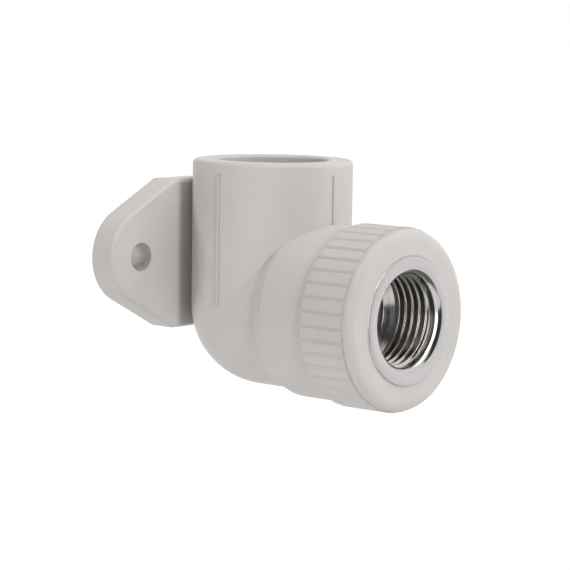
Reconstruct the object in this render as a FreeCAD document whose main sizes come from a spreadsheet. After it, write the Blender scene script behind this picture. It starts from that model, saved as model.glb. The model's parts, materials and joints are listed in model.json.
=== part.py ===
import FreeCAD
import Part
import math
import os

import Sketcher

# Frame: the wall is the plane Y = 0, the port points along -Y, the pipe socket points up along +Z.
# The origin is where the port axis meets the wall. All sizes are in millimetres and degrees.

SIZES = {
    # Screw plate
    "plate_thickness": 6.0,
    "plate_height": 31.8,
    "plate_lift": 10.75,
    "plate_flat_length": 30.3,
    "plate_corner_round": 1.5,
    "plate_edge_break": 0.6,
    "ear_radius": 10.4,
    "ear_spacing": 46.3,
    "screw_spacing": 50.0,
    "screw_hole_diameter": 6.0,
    # Pipe socket and bend
    "socket_standoff": 20.5,
    "rim_height": 31.25,
    "socket_diameter": 34.15,
    "rim_outer_round": 1.0,
    "rim_lead": 0.4,
    "pipe_bore_diameter": 24.0,
    "pipe_depth": 18.0,
    "waterway_diameter": 17.2,
    # Guide marks on the socket
    "mark_count": 4,
    "mark_width": 0.8,
    "mark_height": 0.25,
    "mark_root": 0.6,
    "mark_drop": 2.6,
    "mark_foot": 1.0,
    # Collar
    "face_reach": 58.1,
    "ring_diameter": 37.7,
    "ring_land": 0.8,
    "ring_round": 2.35,
    "shoulder_reach": 30.6,
    "shoulder_length": 2.9,
    "sleeve_diameter": 36.8,
    # Ribbed band
    "crest_diameter": 38.4,
    "rib_margin": 2.15,
    "rib_length": 11.5,
    "rib_ramp": 0.9,
    "rib_count": 41,
    "groove_width": 0.95,
    "groove_depth": 0.34,
    "groove_overrun": 0.2,
    "groove_turn": 3.0,
    # Threaded insert
    "insert_proud": 0.3,
    "insert_length": 19.0,
    "nose_diameter": 26.8,
    "nose_length": 3.8,
    "key_across_flats": 28.4,
    "key_flats": 8,
    "key_length": 9.0,
    "tail_diameter": 23.2,
    "mouth_diameter": 21.13,
    "thread_bore_diameter": 18.631,
    "thread_depth": 15.1,
}

# Flats that a rounded edge and a soft step are turned in
ROUND_FLATS = 4
STEP_FLATS = 3


class Size:
    """A number that keeps the spreadsheet expression it came from."""

    def __init__(self, value, text):
        self.value = value
        self.text = text

    @staticmethod
    def of(other):
        """Return a plain number as a Size, and a Size as it is."""
        return other if isinstance(other, Size) else Size(other, repr(other))

    def __add__(self, other):
        other = Size.of(other)
        return Size(self.value + other.value, f"({self.text} + {other.text})")

    def __sub__(self, other):
        other = Size.of(other)
        return Size(self.value - other.value, f"({self.text} - {other.text})")

    def __mul__(self, other):
        other = Size.of(other)
        return Size(self.value * other.value, f"({self.text} * {other.text})")

    def __truediv__(self, other):
        other = Size.of(other)
        return Size(self.value / other.value, f"({self.text} / {other.text})")

    def __neg__(self):
        return Size(-self.value, f"(-1 * {self.text})")

    def root(self):
        """Return the square root."""
        return Size(math.sqrt(self.value), f"sqrt({self.text})")


ZERO = Size(0.0, "0")

doc = FreeCAD.newDocument("wall_plate_elbow")
sheet = doc.addObject("Spreadsheet::Sheet", "sizes")
for row, (word, number) in enumerate(SIZES.items(), start=1):
    sheet.set(f"A{row}", word)
    sheet.set(f"B{row}", str(number))
    sheet.setAlias(f"B{row}", word)
doc.recompute()


def size(word):
    """Return a driving dimension by its name."""
    return Size(float(SIZES[word]), f"sizes.{word}")


def add_body(name):
    """Add an empty body."""
    body = doc.addObject("PartDesign::Body", name)
    body.Label = name
    return body


def origin_part(body, role):
    """Return one of the body's own origin planes or axes."""
    return next(item for item in body.Origin.OriginFeatures if item.Role == role)


def add_sketch(body, name, role, offset=None, turn=None):
    """Add a sketch on an origin plane, moved along its normal and turned in the plane on request."""
    sketch = body.newObject("Sketcher::SketchObject", name)
    sketch.AttachmentSupport = [(origin_part(body, role), "")]
    sketch.MapMode = "FlatFace"
    if offset is not None:
        sketch.setExpression("AttachmentOffset.Base.z", offset.text)
    if turn is not None:
        sketch.AttachmentOffset = FreeCAD.Placement(
            FreeCAD.Vector(), FreeCAD.Rotation(FreeCAD.Vector(0, 0, 1), turn.value))
        sketch.setExpression("AttachmentOffset.Rotation.Angle", turn.text)
    return sketch


def bind(sketch, constraint, amount):
    """Add a dimension and bind it to its expression."""
    index = sketch.addConstraint(constraint)
    sketch.setExpression(f"Constraints[{index}]", amount.text)


def place_point(sketch, geometry, point, across, along):
    """Dimension a point from the sketch origin; a zero puts it on the axis."""
    if across.value == 0.0:
        sketch.addConstraint(Sketcher.Constraint("PointOnObject", geometry, point, -2))
    elif across.value > 0.0:
        bind(sketch, Sketcher.Constraint("DistanceX", -1, 1, geometry, point, across.value), across)
    else:
        bind(sketch, Sketcher.Constraint("DistanceX", geometry, point, -1, 1, -across.value), -across)
    if along.value == 0.0:
        sketch.addConstraint(Sketcher.Constraint("PointOnObject", geometry, point, -1))
    elif along.value > 0.0:
        bind(sketch, Sketcher.Constraint("DistanceY", -1, 1, geometry, point, along.value), along)
    else:
        bind(sketch, Sketcher.Constraint("DistanceY", geometry, point, -1, 1, -along.value), -along)


def arc_between(first, last, radius, left):
    """Return the shorter arc between two points, bending to the left or to the right."""
    chord = last - first
    normal = FreeCAD.Vector(-chord.y, chord.x, 0).normalize()
    rise = math.sqrt(max(radius ** 2 - (chord.Length / 2) ** 2, 0.0))
    centre = (first + last) * 0.5 + normal * (rise if left else -rise)
    begin, end = (first, last) if left else (last, first)
    angles = [math.atan2(point.y - centre.y, point.x - centre.x) for point in (begin, end)]
    circle = Part.Circle(centre, FreeCAD.Vector(0, 0, 1), radius)
    return Part.ArcOfCircle(circle, *angles)


def draw_outline(sketch, corners):
    """Draw a closed outline.

    Each corner is (across, along, edge), where the edge leads to the next corner: None is a line,
    and (radius, left) is an arc that bends to the left or to the right on its way.
    """
    places = [FreeCAD.Vector(across.value, along.value, 0) for across, along, _ in corners]
    ends = []
    for index, (_, _, edge) in enumerate(corners):
        first, last = places[index], places[(index + 1) % len(corners)]
        if edge is None:
            geometry = sketch.addGeometry(Part.LineSegment(first, last), False)
            ends.append((geometry, 1, 2))
        else:
            radius, left = edge
            geometry = sketch.addGeometry(arc_between(first, last, radius.value, left), False)
            ends.append((geometry, 1, 2) if left else (geometry, 2, 1))
    for index, (geometry, _, last_point) in enumerate(ends):
        following, first_point, _ = ends[(index + 1) % len(ends)]
        sketch.addConstraint(
            Sketcher.Constraint("Coincident", geometry, last_point, following, first_point))
    for (geometry, first_point, _), (across, along, edge) in zip(ends, corners):
        place_point(sketch, geometry, first_point, across, along)
        if edge is not None:
            bind(sketch, Sketcher.Constraint("Radius", geometry, edge[0].value), edge[0])


def quarter_round(first, last, leave_along):
    """Return the corners of a quarter round between two points, in short flats.

    It leaves the first point parallel to the sketch's second direction, or else to its first one.
    """
    corners = []
    for step in range(ROUND_FLATS + 1):
        angle = math.pi / 2 * step / ROUND_FLATS
        leading, trailing = round(math.sin(angle), 9), round(1 - math.cos(angle), 9)
        part_across, part_along = (trailing, leading) if leave_along else (leading, trailing)
        corners.append((first[0] + (last[0] - first[0]) * part_across,
                        first[1] + (last[1] - first[1]) * part_along, None))
    return corners


def soft_step(first, last):
    """Return the corners of a step that leaves and ends level along the first direction, in short flats."""
    corners = []
    for step in range(STEP_FLATS + 1):
        part_across = round(step / STEP_FLATS, 9)
        part_along = round((1 - math.cos(math.pi * part_across)) / 2, 9)
        corners.append((first[0] + (last[0] - first[0]) * part_across,
                        first[1] + (last[1] - first[1]) * part_along, None))
    return corners


def draw_axis(sketch, across, low, high):
    """Draw an upright construction line to revolve about."""
    line = Part.LineSegment(
        FreeCAD.Vector(across.value, low.value, 0), FreeCAD.Vector(across.value, high.value, 0))
    geometry = sketch.addGeometry(line, True)
    place_point(sketch, geometry, 1, across, low)
    place_point(sketch, geometry, 2, across, high)


def add_circle(sketch, across, along, radius):
    """Draw a dimensioned circle."""
    circle = Part.Circle(
        FreeCAD.Vector(across.value, along.value, 0), FreeCAD.Vector(0, 0, 1), radius.value)
    geometry = sketch.addGeometry(circle, False)
    place_point(sketch, geometry, 3, across, along)
    bind(sketch, Sketcher.Constraint("Radius", geometry, radius.value), radius)


def add_feature(body, kind, name, sketch, **bindings):
    """Add a sketch-based feature and bind its sizes."""
    feature = body.newObject(f"PartDesign::{kind}", name)
    feature.Profile = sketch
    for prop, amount in bindings.items():
        feature.setExpression(prop, amount.text)
    return feature


def add_turned(body, kind, name, sketch, axis):
    """Add a full revolution or groove about a sketch axis."""
    feature = add_feature(body, kind, name, sketch)
    feature.ReferenceAxis = (sketch, [axis])
    feature.Angle = 360.0
    return feature


def add_pattern(body, name, feature, axis, count):
    """Repeat a feature evenly about an axis."""
    pattern = body.newObject("PartDesign::PolarPattern", name)
    pattern.Originals = [feature]
    pattern.Axis = axis
    pattern.Angle = 360.0
    pattern.setExpression("Occurrences", count.text)
    body.Tip = pattern
    return pattern


def add_edge_cut(body, kind, name, base, chosen, **bindings):
    """Round or chamfer the edges of a feature that the test picks."""
    doc.recompute()
    names = [f"Edge{i}" for i, edge in enumerate(base.Shape.Edges, start=1) if chosen(edge)]
    cut = body.newObject(f"PartDesign::{kind}", name)
    cut.Base = (base, names)
    for prop, amount in bindings.items():
        cut.setExpression(prop, amount.text)
    body.Tip = cut
    return cut


# Places along the port axis, as distances from the wall
standoff = size("socket_standoff")
face = size("face_reach")
rib_front = face - size("rib_margin")
rib_rear = rib_front - size("rib_length")
insert_front = face + size("insert_proud")
insert_rear = insert_front - size("insert_length")

# Radii
socket_radius = size("socket_diameter") / 2
waterway_radius = size("waterway_diameter") / 2
crest_radius = size("crest_diameter") / 2
sleeve_radius = size("sleeve_diameter") / 2
ring_radius = size("ring_diameter") / 2

# Screw plate
blank = add_body("plastic_blank")
plate_top = size("plate_lift") + size("plate_height") / 2
plate_foot = size("plate_lift") - size("plate_height") / 2
flat_end = size("plate_flat_length") / 2
ear_place = size("ear_spacing") / 2
ear_radius = size("ear_radius")


def tangent_point(side, upper):
    """Return where the sloping edge from a plate corner touches the round end of its ear.

    Both come from the corner's place relative to the ear: the foot of the tangent lies on the
    ear at the angle of the corner less the angle whose cosine is radius over distance.
    """
    back = flat_end - ear_place
    rise = size("plate_height") / 2
    reach = back * back + rise * rise
    tangent = (reach - ear_radius * ear_radius).root()
    out = ear_radius * (ear_radius * back + tangent * rise) / reach
    lift = ear_radius * (ear_radius * rise - tangent * back) / reach
    across = ear_place + out
    return (across if side > 0 else -across,
            size("plate_lift") + lift if upper else size("plate_lift") - lift)


outline = add_sketch(blank, "plate_outline", "XZ_Plane")
ear_end = (ear_radius, False)
draw_outline(outline, [
    (-flat_end, plate_top, None),
    (flat_end, plate_top, None),
    (*tangent_point(1, True), ear_end),
    (*tangent_point(1, False), None),
    (flat_end, plate_foot, None),
    (-flat_end, plate_foot, None),
    (*tangent_point(-1, False), ear_end),
    (*tangent_point(-1, True), None),
])
plate = add_feature(blank, "Pad", "plate", outline, Length=size("plate_thickness"))


def is_corner(edge):
    """Tell the straight edges through the plate at the ends of its flats."""
    low, high = edge.BoundBox.YMin, edge.BoundBox.YMax
    return high - low > 0.5 * SIZES["plate_thickness"] and abs(
        abs(edge.CenterOfMass.x) - flat_end.value) < 0.01


def is_front(edge):
    """Tell the edges round the front of the plate."""
    return edge.BoundBox.YMax < -SIZES["plate_thickness"] + 0.01


corners = add_edge_cut(blank, "Fillet", "plate_corners", plate, is_corner, Radius=size("plate_corner_round"))
add_edge_cut(blank, "Chamfer", "plate_front", corners, is_front, Size=size("plate_edge_break"))

# Pipe socket with its round bend
rim_height = size("rim_height")
rim_round = size("rim_outer_round")
socket_outline = add_sketch(blank, "socket_outline", "YZ_Plane")
draw_outline(socket_outline, [
    (-standoff, -socket_radius, (socket_radius, False)),
    (-(standoff + socket_radius), ZERO, None),
    *quarter_round((-(standoff + socket_radius), rim_height - rim_round),
                   (-(standoff + socket_radius - rim_round), rim_height), leave_along=True),
    (-standoff, rim_height, None),
])
draw_axis(socket_outline, -standoff, -socket_radius, rim_height)
add_turned(blank, "Revolution", "socket", socket_outline, "Axis0")

# Neck and collar, turned about the port axis
shoulder = size("shoulder_reach")
ring_round = size("ring_round")
collar_outline = add_sketch(blank, "collar_outline", "YZ_Plane")
draw_outline(collar_outline, [
    (-standoff, ZERO, None),
    (-standoff, socket_radius, None),
    *soft_step((-shoulder, socket_radius), (-(shoulder + size("shoulder_length")), sleeve_radius)),
    (-rib_rear, sleeve_radius, None),
    (-(rib_rear + size("rib_ramp")), crest_radius, None),
    (-rib_front, crest_radius, None),
    (-rib_front, ring_radius, None),
    *quarter_round((-(rib_front + size("ring_land")), ring_radius),
                   (-face, ring_radius - ring_round), leave_along=False),
    (-face, ZERO, None),
])
add_turned(blank, "Revolution", "collar", collar_outline, "H_Axis")

# Guide marks down the socket
mark_low = size("mark_foot")
mark_high = rim_height - size("mark_drop")
mark_inside = standoff + socket_radius - size("mark_root")
mark_outside = standoff + socket_radius + size("mark_height")
mark_outline = add_sketch(blank, "mark_outline", "YZ_Plane")
draw_outline(mark_outline, [
    (-mark_inside, mark_low, None),
    (-mark_outside, mark_low, None),
    (-mark_outside, mark_high, None),
    (-mark_inside, mark_high, None),
])
draw_axis(mark_outline, -standoff, mark_low, mark_high)
mark = add_feature(blank, "Pad", "mark", mark_outline, Length=size("mark_width"))
mark.Midplane = True
add_pattern(blank, "marks", mark, (mark_outline, ["Axis0"]), size("mark_count"))

# Grooves between the ribs
groove_top = size("groove_depth") + size("groove_overrun")
groove_half = size("groove_width") / 2 * groove_top / size("groove_depth")
groove_outline = add_sketch(
    blank, "groove_outline", "XZ_Plane", offset=rib_front, turn=size("groove_turn"))
draw_outline(groove_outline, [
    (ZERO, crest_radius - size("groove_depth"), None),
    (groove_half, crest_radius + size("groove_overrun"), None),
    (-groove_half, crest_radius + size("groove_overrun"), None),
])
groove = add_feature(blank, "Pocket", "groove", groove_outline, Length=size("rib_length"))
add_pattern(blank, "grooves", groove, (origin_part(blank, "Y_Axis"), [""]), size("rib_count"))

# Screw holes
holes_outline = add_sketch(blank, "holes_outline", "XZ_Plane", offset=size("plate_thickness"))
for side in (1, -1):
    place = size("screw_spacing") / 2
    add_circle(holes_outline, place if side > 0 else -place, size("plate_lift"),
               size("screw_hole_diameter") / 2)
add_feature(blank, "Pocket", "screw_holes", holes_outline, Length=size("plate_thickness"))

# Pipe bore and waterway
pipe_radius = size("pipe_bore_diameter") / 2
lead = size("rim_lead")
stop_height = rim_height - size("pipe_depth")
riser_outline = add_sketch(blank, "riser_outline", "YZ_Plane")
draw_outline(riser_outline, [
    (-standoff, -waterway_radius, (waterway_radius, False)),
    (-(standoff + waterway_radius), ZERO, None),
    (-(standoff + waterway_radius), stop_height, None),
    (-(standoff + pipe_radius), stop_height, None),
    (-(standoff + pipe_radius), rim_height - lead, None),
    (-(standoff + pipe_radius + lead), rim_height, None),
    (-standoff, rim_height, None),
])
draw_axis(riser_outline, -standoff, -waterway_radius, rim_height)
add_turned(blank, "Groove", "riser", riser_outline, "Axis0")

outlet_outline = add_sketch(blank, "outlet_outline", "YZ_Plane")
draw_outline(outlet_outline, [
    (-standoff, ZERO, None),
    (-standoff, waterway_radius, None),
    (-insert_rear, waterway_radius, None),
    (-insert_rear, ZERO, None),
])
add_turned(blank, "Groove", "outlet", outlet_outline, "H_Axis")

# Outside of the insert: nose and tail, with a keyed flange between them
nose_end = insert_front - size("nose_length")
key_end = nose_end - size("key_length")
shank = add_body("insert_outside")
shank_outline = add_sketch(shank, "shank_outline", "YZ_Plane")
nose_radius = size("nose_diameter") / 2
tail_radius = size("tail_diameter") / 2
draw_outline(shank_outline, [
    (-insert_front, ZERO, None),
    (-insert_front, nose_radius, None),
    (-nose_end, nose_radius, None),
    (-nose_end, tail_radius, None),
    (-insert_rear, tail_radius, None),
    (-insert_rear, ZERO, None),
])
add_turned(shank, "Revolution", "shank", shank_outline, "H_Axis")
key = shank.newObject("PartDesign::AdditivePrism", "key_flange")
key.AttachmentSupport = [(origin_part(shank, "XZ_Plane"), "")]
key.MapMode = "FlatFace"
key.setExpression("AttachmentOffset.Base.z", key_end.text)
key.setExpression("Polygon", "sizes.key_flats")
key.setExpression("Circumradius", "sizes.key_across_flats / 2 / cos(180 deg / sizes.key_flats)")
key.setExpression("Height", "sizes.key_length")

# Bore of the insert: chamfered mouth, thread core and rear bore in line with the waterway
core_radius = size("thread_bore_diameter") / 2
port_mouth_radius = size("mouth_diameter") / 2
thread_end = insert_front - size("thread_depth")
bore = add_body("insert_bore")
bore_outline = add_sketch(bore, "bore_outline", "YZ_Plane")
draw_outline(bore_outline, [
    (-insert_front, ZERO, None),
    (-insert_front, port_mouth_radius, None),
    (-(insert_front - (port_mouth_radius - core_radius)), core_radius, None),
    (-thread_end, core_radius, None),
    (-thread_end, waterway_radius, None),
    (-insert_rear, waterway_radius, None),
    (-insert_rear, ZERO, None),
])
add_turned(bore, "Revolution", "bore", bore_outline, "H_Axis")

# The plastic is moulded round the insert, so its cavity is the insert's own outside
elbow = doc.addObject("Part::Cut", "elbow_body")
elbow.Base = blank
elbow.Tool = shank
elbow.Label = "elbow_body"
insert = doc.addObject("Part::Cut", "threaded_insert")
insert.Base = shank
insert.Tool = bore
insert.Label = "threaded_insert"
doc.recompute()

for item in doc.Objects:
    if "Invalid" in item.State or "Error" in item.State:
        raise RuntimeError(f"{item.Name} failed: {item.State}")

os.makedirs("parts", exist_ok=True)
for node in (elbow, insert):
    if node.Shape.isNull() or not node.Shape.isValid() or len(node.Shape.Solids) != 1:
        raise RuntimeError(f"{node.Label} has no valid single solid")
    node.Shape.exportStep(f"parts/{node.Label}.step")
    box = node.Shape.BoundBox
    print(f"{node.Label}: volume {node.Shape.Volume:.1f} mm3, "
          f"box {box.XLength:.2f} x {box.YLength:.2f} x {box.ZLength:.2f} mm")
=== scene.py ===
"""Looks of a wall plate elbow: satin grey plastic round a nickel-plated bush with a real pipe thread.

All lengths are in metres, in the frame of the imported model: the wall is the plane Y = 0, the threaded
port points along -Y and the pipe socket points up along +Z. All angles in fields are in degrees.
"""

import json
import logging
import math
from dataclasses import dataclass, field
from enum import Enum
from functools import reduce

import bpy
import numpy as np
from mathutils import Matrix, Vector

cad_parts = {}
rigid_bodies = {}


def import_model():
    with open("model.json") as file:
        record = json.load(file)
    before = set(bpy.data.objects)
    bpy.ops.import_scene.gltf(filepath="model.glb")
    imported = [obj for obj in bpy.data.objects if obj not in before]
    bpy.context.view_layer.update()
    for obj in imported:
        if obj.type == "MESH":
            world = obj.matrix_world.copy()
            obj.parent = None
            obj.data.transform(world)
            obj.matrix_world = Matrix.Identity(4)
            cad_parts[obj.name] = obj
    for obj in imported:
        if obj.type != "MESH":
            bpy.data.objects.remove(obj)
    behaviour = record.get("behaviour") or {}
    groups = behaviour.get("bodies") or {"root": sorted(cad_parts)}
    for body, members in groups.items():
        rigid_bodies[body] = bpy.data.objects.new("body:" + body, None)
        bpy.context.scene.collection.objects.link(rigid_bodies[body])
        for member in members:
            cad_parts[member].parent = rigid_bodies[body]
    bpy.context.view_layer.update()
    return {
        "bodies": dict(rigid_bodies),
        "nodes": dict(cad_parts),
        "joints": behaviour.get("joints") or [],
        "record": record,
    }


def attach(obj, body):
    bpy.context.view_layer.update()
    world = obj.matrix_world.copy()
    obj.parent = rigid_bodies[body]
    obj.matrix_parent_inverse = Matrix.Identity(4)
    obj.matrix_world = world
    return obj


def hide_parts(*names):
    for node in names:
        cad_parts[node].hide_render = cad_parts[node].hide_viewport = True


MM = 0.001
BODY = "root"
LOG = logging.getLogger("wall_plate_elbow")

WHITE = (1.0, 1.0, 1.0, 1.0)
LEVEL = (1.0, 1.0, 0.0)
QUAD = 4
# Radians that a wave pattern turns through in one unit of length, at a scale of 1
WAVE_TURN = 20.0

Colour = tuple[float, float, float]
Point = tuple[float, float, float]
Span = tuple[float, float]
Socket = bpy.types.NodeSocket


class Surface(Enum):
    """Finishes of the bush, in the order of its material slots."""

    SATIN = 0
    BRIGHT = 1
    TURNED = 2


class Thread(Enum):
    """Which way a thread turns; the value is the sign of its lead along +Y."""

    RIGHT_HAND = -1
    LEFT_HAND = 1


class LatheLines(Enum):
    """How the lines of the lathe lie; the value is the kind of wave pattern that draws them."""

    ON_FACE = "RINGS"
    IN_BORE = "BANDS"


# The radius at each column, the place on the port axis, and the finish of the band that ends there
Ring = tuple[np.ndarray, float, Surface]


class NodeGraph:
    """A node tree that is built by short calls."""

    def __init__(self, tree: bpy.types.NodeTree) -> None:
        """Empty the tree.

        Args:
            tree: The tree to build in.
        """
        self.tree = tree
        self.tree.nodes.clear()

    def add(self, kind: str, **values: object) -> bpy.types.Node:
        """Add a node.

        Args:
            kind: The node's type name, without its common beginning.
            values: The node's properties by name, and its inputs by name in small letters, with an
                underscore for each space.

        Returns:
            The new node.
        """
        node = self.tree.nodes.new(f"ShaderNode{kind}")
        sockets = {socket.name.lower().replace(" ", "_"): socket for socket in reversed(node.inputs)}
        for name, value in values.items():
            if name in sockets:
                sockets[name].default_value = value
            else:
                setattr(node, name, value)
        return node

    def link(self, source: Socket, target: Socket) -> None:
        """Join an output to an input."""
        self.tree.links.new(source, target)

    def show(self, kind: str, source: Socket) -> None:
        """Join a shader to the tree's own output, which is a Material or a World."""
        self.link(source, self.add(f"Output{kind}").inputs["Surface"])

    def ramp(self, source: Socket, low: float, high: float) -> Socket:
        """Map a value from 0..1 to a span.

        Args:
            source: The output to map.
            low: The result for 0.
            high: The result for 1.

        Returns:
            The mapped output.
        """
        node = self.add("MapRange", to_min=low, to_max=high)
        self.link(source, node.inputs["Value"])
        return node.outputs["Result"]

    def edge(self, source: Socket, start: float, end: float) -> Socket:
        """Turn a value into a soft edge.

        Args:
            source: The value.
            start: Where the result is 0.
            end: Where the result is 1.

        Returns:
            The edge, from 0 to 1.
        """
        node = self.add("MapRange", interpolation_type="SMOOTHSTEP", from_min=start, from_max=end)
        self.link(source, node.inputs["Value"])
        return node.outputs["Result"]

    def times(self, first: Socket, last: Socket) -> Socket:
        """Multiply two values.

        Args:
            first: One value.
            last: The other value.

        Returns:
            The product.
        """
        node = self.add("Math", operation="MULTIPLY")
        self.link(first, node.inputs[0])
        self.link(last, node.inputs[1])
        return node.outputs["Value"]

    def clouds(self, place: Socket, scale: float, detail: float, roughness: float) -> Socket:
        """Add a cloudy pattern.

        Args:
            place: Where on the piece the pattern is read.
            scale: How many clouds there are to a metre.
            detail: How many finer layers the pattern has.
            roughness: How strong each finer layer is.

        Returns:
            The pattern, from 0 to 1.
        """
        node = self.add("TexNoise", scale=scale, detail=detail, roughness=roughness)
        self.link(place, node.inputs["Vector"])
        return node.outputs["Fac"]

    def tint(self, source: Socket, span: Span, deep: Colour, pale: Colour) -> Socket:
        """Turn a pattern into a colour.

        Args:
            source: The pattern, from 0 to 1.
            span: The values up to which it is deep and from which it is pale.
            deep: The colour of low values.
            pale: The colour of high values.

        Returns:
            The colour.
        """
        node = self.add("ValToRGB")
        for stop, position, colour in zip(node.color_ramp.elements, span, (deep, pale)):
            stop.position = position
            stop.color = (*colour, 1.0)
        self.link(source, node.inputs["Fac"])
        return node.outputs["Color"]


def new_material(name: str) -> tuple[bpy.types.Material, NodeGraph]:
    """Make a material with an empty tree.

    Args:
        name: The material's name.

    Returns:
        The material and the graph of its tree.
    """
    material = bpy.data.materials.new(name)
    material.use_nodes = True
    return material, NodeGraph(material.node_tree)


@dataclass(frozen=True)
class MouldedPlastic:
    """Satin injection-moulded polypropylene."""

    name: str = "satin_grey_plastic"
    pale: Colour = (0.597, 0.570, 0.549)
    deep: Colour = (0.551, 0.526, 0.506)
    tint_span: Span = (0.30, 0.70)
    cloud_scale: float = 55.0
    cloud_detail: float = 4.0
    cloud_break: float = 0.6
    grain_scale: float = 2600.0
    grain_detail: float = 2.0
    grain_break: float = 0.5
    grain_depth: float = 0.012 * MM
    grain_strength: float = 0.5
    roughness: Span = (0.40, 0.52)
    refraction: float = 1.49
    gloss: float = 0.20
    edge_round: float = 0.45 * MM
    edge_samples: int = 6
    translucence: float = 0.06
    scatter: float = 0.6 * MM

    def material(self) -> bpy.types.Material:
        """Make the material.

        Returns:
            A material with cloudy colour, a fine moulded grain and softened edges.
        """
        material, graph = new_material(self.name)
        place = graph.add("TexCoord").outputs["Object"]
        cloud = graph.clouds(place, self.cloud_scale, self.cloud_detail, self.cloud_break)
        grain = graph.clouds(place, self.grain_scale, self.grain_detail, self.grain_break)
        soft_edge = graph.add("Bevel", samples=self.edge_samples, radius=self.edge_round)
        bump = graph.add("Bump", strength=self.grain_strength, distance=self.grain_depth)
        graph.link(grain, bump.inputs["Height"])
        graph.link(soft_edge.outputs["Normal"], bump.inputs["Normal"])
        shader = graph.add("BsdfPrincipled", ior=self.refraction, specular_ior_level=self.gloss,
                           subsurface_weight=self.translucence, subsurface_scale=self.scatter)
        graph.link(graph.tint(cloud, self.tint_span, self.deep, self.pale), shader.inputs["Base Color"])
        graph.link(graph.ramp(grain, *self.roughness), shader.inputs["Roughness"])
        graph.link(bump.outputs["Normal"], shader.inputs["Normal"])
        graph.show("Material", shader.outputs["BSDF"])
        return material


@dataclass(frozen=True)
class NickelPlate:
    """Nickel plate over turned brass, with the fine lines of the lathe."""

    name: str
    pale: Colour
    deep: Colour
    roughness: Span
    lines: LatheLines
    line_pitch: float
    line_depth: float
    line_strength: float = 0.6
    line_waver: float = 1.2
    line_detail: float = 1.0
    tint_span: Span = (0.35, 0.65)
    cloud_scale: float = 180.0
    cloud_detail: float = 3.0
    cloud_break: float = 0.6

    def material(self) -> bpy.types.Material:
        """Make the material.

        Returns:
            A metal with turned lines, round the axis on a face or along it in a bore.
        """
        material, graph = new_material(self.name)
        place = graph.add("TexCoord").outputs["Object"]
        cloud = graph.clouds(place, self.cloud_scale, self.cloud_detail, self.cloud_break)
        wave = graph.add("TexWave", wave_type=self.lines.value, rings_direction="Y", bands_direction="Y",
                         wave_profile="SIN", scale=math.tau / WAVE_TURN / self.line_pitch,
                         distortion=self.line_waver, detail=self.line_detail)
        graph.link(place, wave.inputs["Vector"])
        bump = graph.add("Bump", strength=self.line_strength, distance=self.line_depth)
        graph.link(wave.outputs["Fac"], bump.inputs["Height"])
        shader = graph.add("BsdfPrincipled", metallic=1.0)
        graph.link(graph.tint(cloud, self.tint_span, self.deep, self.pale), shader.inputs["Base Color"])
        graph.link(graph.ramp(cloud, *self.roughness), shader.inputs["Roughness"])
        graph.link(bump.outputs["Normal"], shader.inputs["Normal"])
        graph.show("Material", shader.outputs["BSDF"])
        return material


SATIN_NICKEL = NickelPlate(
    name="satin_nickel_face", pale=(0.73, 0.70, 0.705), deep=(0.67, 0.645, 0.65), roughness=(0.42, 0.50),
    lines=LatheLines.ON_FACE, line_pitch=0.16 * MM, line_depth=0.004 * MM)
# The bright nickel's low roughness is its real polish. Its colour, darker than the satin face's, is painted
# shade: it dims the light that bounces round inside the bore.
BRIGHT_NICKEL = NickelPlate(
    name="bright_nickel_bore", pale=(0.60, 0.585, 0.57), deep=(0.54, 0.525, 0.51), roughness=(0.11, 0.17),
    lines=LatheLines.IN_BORE, line_pitch=0.20 * MM, line_depth=0.0005 * MM)
TURNED_NICKEL = NickelPlate(
    name="turned_nickel_core", pale=(0.62, 0.60, 0.585), deep=(0.53, 0.51, 0.495), roughness=(0.14, 0.24),
    lines=LatheLines.IN_BORE, line_pitch=0.30 * MM, line_depth=0.004 * MM)


@dataclass
class ElbowBody:
    """The moulded plastic body, which keeps its solid and gets its finish."""

    finish: MouldedPlastic = field(default_factory=MouldedPlastic)
    node: str = "elbow_body"

    def dress(self, frame: dict) -> bpy.types.Object:
        """Put the plastic on the body.

        Args:
            frame: What the loaded frame holds.

        Returns:
            The body's object.
        """
        body = frame["nodes"][self.node]
        body.data.materials.clear()
        body.data.materials.append(self.finish.material())
        return body


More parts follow.
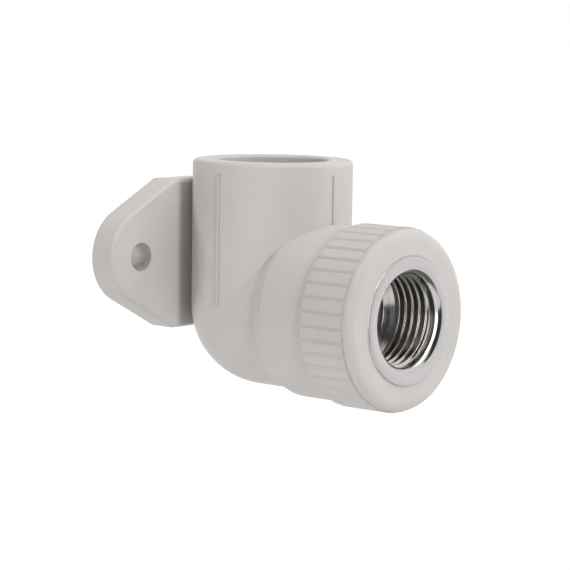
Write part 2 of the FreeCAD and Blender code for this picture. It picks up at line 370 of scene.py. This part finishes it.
@dataclass
class ThreadedInsert:
    """The nickel-plated bush: a parallel pipe thread in its bore, then a relief groove and a conical seat."""

    # Outside
    front: float = -58.4 * MM
    rear: float = -39.4 * MM
    nose_radius: float = 13.4 * MM
    nose_end: float = -54.6 * MM
    key_end: float = -45.6 * MM
    key_half: float = 14.2 * MM
    key_flats: int = 8
    tail_radius: float = 11.6 * MM
    edge_break: float = 0.18 * MM
    edge_middle: float = 0.3
    # Mouth
    mouth_radius: float = 10.565 * MM
    mouth_chamfer: float = 0.55 * MM
    mouth_ease: float = 0.4
    throat_drop: float = 0.30 * MM
    throat_degrees: float = 30.0
    throat_ease: float = 0.6
    lead_end: float = -56.1 * MM
    # Thread
    core_radius: float = 9.3155 * MM
    root_radius: float = 10.478 * MM
    pitch: float = 1.814 * MM
    flank_degrees: float = 27.5
    tip_round: float = 0.249 * MM
    crest_at: float = -55.33 * MM
    thread_end: float = -47.3 * MM
    run_in: float = 0.03 * MM
    run_out: float = 0.5 * MM
    hand: Thread = Thread.RIGHT_HAND
    # Relief groove, seat and rear bore
    relief_end: float = -46.2 * MM
    relief_degrees: float = 45.0
    seat_radius: float = 9.65 * MM
    seat_land: float = 0.08 * MM
    seat_degrees: float = 48.0
    bore_radius: float = 8.6 * MM
    bore_lines: int = 4
    bore_line_pitch: float = 0.95 * MM
    bore_line_depth: float = 0.07 * MM
    # Mesh
    columns: int = 288
    row_step: float = 0.036 * MM
    slope_share: float = 0.1
    sharp_degrees: float = 38.0
    finishes: tuple[NickelPlate, ...] = (SATIN_NICKEL, BRIGHT_NICKEL, TURNED_NICKEL)
    name: str = "threaded_bush"
    node: str = "threaded_insert"
    slot: str = "nickel_plated_brass"

    def angles(self) -> np.ndarray:
        """Return the angle of each column, from +X towards +Z."""
        return np.arange(self.columns) * math.tau / self.columns

    def key_radius(self) -> np.ndarray:
        """Return the radius of the keyed flange at each column, with a corner on +X."""
        sector = math.tau / self.key_flats
        return self.key_half / np.cos(np.mod(self.angles(), sector) - sector / 2)

    def thread_radius(self, along: float) -> np.ndarray:
        """Work out the thread's section across the axis.

        The profile has straight flanks that run into round crests and roots, and turns with the angle.

        Args:
            along: The place on the port axis.

        Returns:
            The radius of the thread at each column.
        """
        turn = self.hand.value * self.angles() / math.tau
        phase = np.mod((along - self.crest_at) / self.pitch - turn + 0.5, 1.0) - 0.5
        from_crest = np.abs(phase) * self.pitch
        from_root = self.pitch / 2 - from_crest
        depth = self.root_radius - self.core_radius
        flank = math.radians(self.flank_degrees)
        tip = self.tip_round
        reach = tip * math.cos(flank)
        crest = tip - np.sqrt(np.maximum(tip ** 2 - from_crest ** 2, 0.0))
        root = depth - tip + np.sqrt(np.maximum(tip ** 2 - from_root ** 2, 0.0))
        slope = tip * (1 - math.sin(flank)) + (from_crest - reach) / math.tan(flank)
        lower = np.where(from_root < reach, root, slope)
        return self.core_radius + np.where(from_crest < reach, crest, lower)

    def threaded_radius(self, along: float) -> np.ndarray:
        """Work out the bore's section in the thread, with its run-out.

        Args:
            along: The place on the port axis.

        Returns:
            The radius of the bore at each column.
        """
        leave = min(1.0, max(0.0, (self.thread_end - along) / self.run_out))
        return self.root_radius + (self.thread_radius(along) - self.root_radius) * leave

    def threaded_normals(self, along: float) -> np.ndarray:
        """Work out which way the thread's surface faces.

        Args:
            along: The place on the port axis.

        Returns:
            The unit normal at each column, towards the axis.
        """
        step = self.slope_share * self.row_step
        slope = (self.threaded_radius(along + step) - self.threaded_radius(along - step)) / (2 * step)
        lean = -self.hand.value * self.pitch / math.tau * slope / self.threaded_radius(along)
        cosine, sine = np.cos(self.angles()), np.sin(self.angles())
        normals = np.stack([-cosine - lean * sine, slope, -sine + lean * cosine], axis=1)
        return normals / np.linalg.norm(normals, axis=1, keepdims=True)

    def thread_rows(self) -> np.ndarray:
        """Return the places of the thread's rings on the port axis."""
        start = self.lead_end + self.run_in
        return np.linspace(start, self.thread_end, math.ceil((self.thread_end - start) / self.row_step) + 1)

    def ring(self, radius: float, along: float, surface: Surface) -> Ring:
        """Return a round ring."""
        return np.full(self.columns, radius), along, surface

    def outside(self) -> list[Ring]:
        """List the rings from the rear edge over the tail, the keyed flange and the nose to the face.

        Returns:
            The rings, in order.
        """
        ring, edge, key = self.ring, self.edge_break, self.key_radius()
        middle = self.edge_middle * edge
        return [
            ring(self.bore_radius, self.rear, Surface.SATIN),
            ring(self.tail_radius, self.rear, Surface.SATIN),
            ring(self.tail_radius, self.key_end, Surface.SATIN),
            (key, self.key_end, Surface.SATIN),
            (key, self.nose_end, Surface.SATIN),
            ring(self.nose_radius, self.nose_end, Surface.SATIN),
            ring(self.nose_radius, self.front + edge, Surface.SATIN),
            ring(self.nose_radius - middle, self.front + middle, Surface.BRIGHT),
            ring(self.nose_radius - edge, self.front, Surface.BRIGHT),
            ring(self.mouth_radius + edge, self.front, Surface.SATIN),
        ]

    def mouth(self) -> list[Ring]:
        """List the rings of the chamfer, the throat and the lead into the thread.

        Returns:
            The rings, in order.
        """
        ring = self.ring
        throat_radius = self.mouth_radius - self.mouth_chamfer
        throat_at = self.front + self.mouth_chamfer
        lead_radius = throat_radius - self.throat_drop
        lead_at = throat_at + self.throat_drop / math.tan(math.radians(self.throat_degrees))
        soft = self.mouth_ease * self.edge_break
        narrow = self.throat_ease * soft
        return [
            ring(self.mouth_radius, self.front + soft, Surface.BRIGHT),
            ring(throat_radius + soft, throat_at - soft, Surface.BRIGHT),
            ring(throat_radius - narrow, throat_at + soft, Surface.BRIGHT),
            ring(lead_radius + narrow, lead_at - soft, Surface.BRIGHT),
            ring(lead_radius, lead_at + soft, Surface.BRIGHT),
            ring(lead_radius, self.lead_end, Surface.BRIGHT),
        ]

    def thread(self) -> list[Ring]:
        """Return the rings of the thread."""
        return [(self.threaded_radius(along), float(along), Surface.BRIGHT) for along in self.thread_rows()]

    def seat(self) -> list[Ring]:
        """List the rings of the relief groove, the conical seat and the rear bore with its turned lines.

        Returns:
            The rings, in order.
        """
        ring, edge = self.ring, self.edge_break
        relief_slope = math.tan(math.radians(self.relief_degrees))
        seat_at = self.relief_end + (self.root_radius - self.seat_radius) / relief_slope
        seat_slope = math.tan(math.radians(self.seat_degrees))
        bore_at = seat_at + self.seat_land + (self.seat_radius - self.bore_radius) / seat_slope
        rings = [
            ring(self.root_radius, self.relief_end, Surface.BRIGHT),
            ring(self.seat_radius, seat_at, Surface.TURNED),
            ring(self.seat_radius, seat_at + self.seat_land, Surface.BRIGHT),
            ring(self.bore_radius + edge, bore_at - edge / seat_slope, Surface.TURNED),
            ring(self.bore_radius + self.edge_middle * edge, bore_at, Surface.BRIGHT),
            ring(self.bore_radius, bore_at + edge, Surface.BRIGHT),
        ]
        for line in range(1, self.bore_lines + 1):
            line_at = bore_at + line * self.bore_line_pitch
            rings += [
                ring(self.bore_radius, line_at - self.bore_line_depth, Surface.TURNED),
                ring(self.bore_radius + self.bore_line_depth, line_at, Surface.TURNED),
                ring(self.bore_radius, line_at + self.bore_line_depth, Surface.TURNED),
            ]
        return rings

    def build(self) -> bpy.types.Object:
        """Make the bush's mesh and its object.

        The rings run from the rear edge over the outside, the face and the bore back to the rear, where a
        turned band closes them.

        Returns:
            The new object, in place of its solid.
        """
        before_thread = self.outside() + self.mouth()
        rings = before_thread + self.thread() + self.seat()
        cosine, sine = np.cos(self.angles()), np.sin(self.angles())
        points = [np.stack([radius * cosine, np.full(self.columns, along), radius * sine], axis=1)
                  for radius, along, _ in rings]
        faces = []
        finishes = []
        for index, (_, _, surface) in enumerate(rings):
            first = (index - 1) % len(rings) * self.columns
            last = index * self.columns
            for column in range(self.columns):
                beside = (column + 1) % self.columns
                faces.append((first + column, first + beside, last + beside, last + column))
                finishes.append(surface.value if index else Surface.TURNED.value)
        mesh = bpy.data.meshes.new(self.name)
        mesh.from_pydata(np.concatenate(points).tolist(), [], faces)
        mesh.polygons.foreach_set("material_index", finishes)
        mesh.shade_smooth()
        mesh.set_sharp_from_angle(angle=math.radians(self.sharp_degrees))
        mesh.update()
        self.smooth_thread(mesh, len(before_thread))
        bush = bpy.data.objects.new(self.name, mesh)
        bpy.context.scene.collection.objects.link(bush)
        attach(bush, BODY)
        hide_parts(self.node)
        return bush

    def smooth_thread(self, mesh: bpy.types.Mesh, first: int) -> None:
        """Shade the thread by its true form, so that its crests run as clean lines.

        Args:
            mesh: The bush's mesh.
            first: The index of the thread's first ring.
        """
        rows = self.thread_rows()
        exact = np.concatenate([self.threaded_normals(along) for along in rows])
        normals = np.empty(len(mesh.loops) * 3)
        mesh.corner_normals.foreach_get("vector", normals)
        normals = normals.reshape(-1, 3)
        points = np.empty(len(mesh.loops), dtype=np.int32)
        mesh.loops.foreach_get("vertex_index", points)
        band = QUAD * self.columns
        start, end = (first + 1) * band, (first + len(rows)) * band
        normals[start:end] = exact[points[start:end] - first * self.columns]
        mesh.normals_split_custom_set(normals.tolist())

    def dress(self, bush: bpy.types.Object) -> None:
        """Put the nickel on the bush: satin outside, bright in the bore and turned on its seat and rear."""
        for finish in self.finishes:
            bush.data.materials.append(finish.material())


def direction(azimuth: float, elevation: float) -> Vector:
    """Point from the part to a place round it.

    Args:
        azimuth: The angle in degrees from the side of -Y towards +X.
        elevation: The angle in degrees above the level.

    Returns:
        The unit vector.
    """
    turn, rise = math.radians(azimuth), math.radians(elevation)
    return Vector((math.sin(turn) * math.cos(rise), -math.cos(turn) * math.cos(rise), math.sin(rise)))


@dataclass(frozen=True)
class Lamp:
    """A soft, far lamp that lights the part and the floor evenly."""

    name: str
    azimuth: float
    elevation: float
    spread: float
    strength: float

    def place(self) -> bpy.types.Object:
        """Set the lamp up.

        Returns:
            The lamp's object.
        """
        data = bpy.data.lights.new(self.name, "SUN")
        data.angle = math.radians(self.spread)
        data.energy = self.strength
        lamp = bpy.data.objects.new(self.name, data)
        lamp.location = direction(self.azimuth, self.elevation)
        lamp.rotation_euler = lamp.location.to_track_quat("Z", "Y").to_euler()
        lamp.visible_glossy = False
        bpy.context.scene.collection.objects.link(lamp)
        return lamp


@dataclass(frozen=True)
class Screen:
    """A part of the reflected surround that is darker or brighter than the white round it.

    Each edge is a pair of angles: where the screen ends and where it is full. Heights are elevations, and
    the sides lie to the left and right of an azimuth. A screen without sides goes all the way round.
    """

    level: float
    heights: tuple[Span, ...]
    azimuth: float = 0.0
    sides: Span | None = None

    def factor(self, graph: NodeGraph, height: Socket, heading: Socket) -> Socket:
        """Work out what the screen does to the surround.

        Args:
            graph: The tree to build in.
            height: The sine of a ray's elevation.
            heading: The direction of the ray, laid level.

        Returns:
            The screen's level where it is full and 1 outside it.
        """
        masks = []
        for edge in self.heights:
            sines = (math.sin(math.radians(angle)) for angle in edge)
            masks.append(graph.edge(height, *sines))
        if self.sides:
            near = graph.add("VectorMath", operation="DOT_PRODUCT")
            graph.link(heading, near.inputs[0])
            near.inputs[1].default_value = direction(self.azimuth, 0.0)
            cosines = (math.cos(math.radians(angle)) for angle in self.sides)
            masks.append(graph.edge(near.outputs["Value"], *cosines))
        return graph.ramp(reduce(graph.times, masks), 1.0, self.level)


@dataclass
class Studio:
    """The pale floor, the soft lamps and the white surround with the screens that the metal reflects."""

    floor_drop: float = 75.0 * MM
    floor_half: float = 6.0
    floor_colour: Colour = (0.86, 0.86, 0.86)
    floor_glow: float = 0.27
    lamps: tuple[Lamp, ...] = (
        Lamp("key_lamp", -17.0, 10.0, 10.0, 1.27),
        Lamp("top_lamp", 35.0, 75.0, 60.0, 2.38),
        Lamp("left_lamp", -117.0, 5.0, 20.0, 1.35),
        Lamp("right_lamp", 45.0, 10.0, 60.0, 0.86),
    )
    dark_front: Screen = Screen(0.05, ((-22.0, -16.0), (58.0, 40.0)), -11.0, (40.0, 33.0))
    bright_side: Screen = Screen(3.2, ((-25.0, 0.0),), -67.0, (27.0, 17.0))
    shaded_foot: Screen = Screen(0.18, ((-26.0, -38.0),), 60.0, (75.0, 55.0))
    bright_crown: Screen = Screen(2.2, ((50.0, 64.0),))

    def floor(self) -> bpy.types.Object:
        """Make the floor, which keeps the part's shadow and looks white.

        Returns:
            The floor's object.
        """
        half, height = self.floor_half, -self.floor_drop
        corners = [(-half, -half, height), (half, -half, height), (half, half, height), (-half, half, height)]
        mesh = bpy.data.meshes.new("pale_floor")
        mesh.from_pydata(corners, [], [(0, 1, 2, 3)])
        floor = bpy.data.objects.new("pale_floor", mesh)
        bpy.context.scene.collection.objects.link(floor)
        material, graph = new_material("pale_floor")
        shader = graph.add("BsdfDiffuse", color=(*self.floor_colour, 1.0))
        glow = graph.add("Emission", strength=self.floor_glow)
        lit = graph.add("AddShader")
        graph.link(shader.outputs["BSDF"], lit.inputs[0])
        graph.link(glow.outputs["Emission"], lit.inputs[1])
        path = graph.add("LightPath")
        mix = graph.add("MixShader")
        graph.link(path.outputs["Is Camera Ray"], mix.inputs["Fac"])
        graph.link(shader.outputs["BSDF"], mix.inputs[1])
        graph.link(lit.outputs["Shader"], mix.inputs[2])
        graph.show("Material", mix.outputs["Shader"])
        mesh.materials.append(material)
        floor.visible_glossy = False
        return floor

    def world(self) -> None:
        """Make the surround: white to the eye, and in reflections white with the screens in it."""
        world = bpy.data.worlds.new("white_surround")
        bpy.context.scene.world = world
        world.use_nodes = True
        graph = NodeGraph(world.node_tree)
        ray = graph.add("TexCoord").outputs["Generated"]
        flat = graph.add("VectorMath", operation="MULTIPLY")
        flat.inputs[1].default_value = LEVEL
        graph.link(ray, flat.inputs[0])
        heading = graph.add("VectorMath", operation="NORMALIZE")
        graph.link(flat.outputs["Vector"], heading.inputs[0])
        split = graph.add("SeparateXYZ")
        graph.link(ray, split.inputs["Vector"])
        screens = (self.dark_front, self.bright_side, self.shaded_foot, self.bright_crown)
        mirrored = reduce(graph.times, [screen.factor(graph, split.outputs["Z"], heading.outputs["Vector"])
                                        for screen in screens])
        path = graph.add("LightPath")
        seen = graph.add("Math", operation="MAXIMUM")
        graph.link(path.outputs["Is Glossy Ray"], seen.inputs[0])
        graph.link(path.outputs["Is Transmission Ray"], seen.inputs[1])
        strength = graph.add("Math", operation="MULTIPLY_ADD")
        graph.link(seen.outputs["Value"], strength.inputs[0])
        graph.link(mirrored, strength.inputs[1])
        graph.link(path.outputs["Is Camera Ray"], strength.inputs[2])
        background = graph.add("Background", color=WHITE)
        graph.link(strength.outputs["Value"], background.inputs["Strength"])
        graph.show("World", background.outputs["Background"])

    def build(self) -> None:
        """Set the whole studio up."""
        self.floor()
        self.world()
        for lamp in self.lamps:
            lamp.place()


@dataclass(frozen=True)
class PhotoCamera:
    """The camera at the photograph's viewing angle."""

    place: Point = (-388.835 * MM, -362.633 * MM, 64.577 * MM)
    azimuth: float = -48.981
    elevation: float = 6.649
    roll: float = 0.837
    lens: float = 153.56
    sensor: float = 36.0
    nearest: float = 10.0 * MM

    def build(self) -> bpy.types.Object:
        """Set the camera up.

        Returns:
            The scene's camera.
        """
        turn, rise, roll = (math.radians(angle) for angle in (self.azimuth, self.elevation, self.roll))
        look = Vector((-math.sin(turn) * math.cos(rise), math.cos(turn) * math.cos(rise), -math.sin(rise)))
        level = Vector((math.cos(turn), math.sin(turn), 0.0))
        upright = level.cross(look)
        right = level * math.cos(roll) + upright * math.sin(roll)
        upper = upright * math.cos(roll) - level * math.sin(roll)
        data = bpy.data.cameras.new("photo_camera")
        data.lens = self.lens
        data.sensor_width = self.sensor
        data.clip_start = self.nearest
        camera = bpy.data.objects.new("photo_camera", data)
        camera.matrix_world = Matrix((right, upper, -look)).transposed().to_4x4()
        camera.location = self.place
        bpy.context.scene.collection.objects.link(camera)
        bpy.context.scene.camera = camera
        return camera


def main() -> None:
    """Load the frame, dress the part and set the studio up round it."""
    logging.basicConfig(level=logging.INFO, format="%(name)s: %(message)s")
    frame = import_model()
    bpy.context.scene.view_settings.view_transform = "Standard"

    body = ElbowBody().dress(frame)
    LOG.info("%s: %d faces in satin plastic", body.name, len(body.data.polygons))

    insert = ThreadedInsert()
    bush = insert.build()
    insert.dress(bush)
    LOG.info("%s: %d faces in nickel", bush.name, len(bush.data.polygons))

    Studio().build()
    camera = PhotoCamera().build()
    LOG.info("%s at %s", camera.name, tuple(round(value, 4) for value in camera.location))


if __name__ == "__main__":
    main()
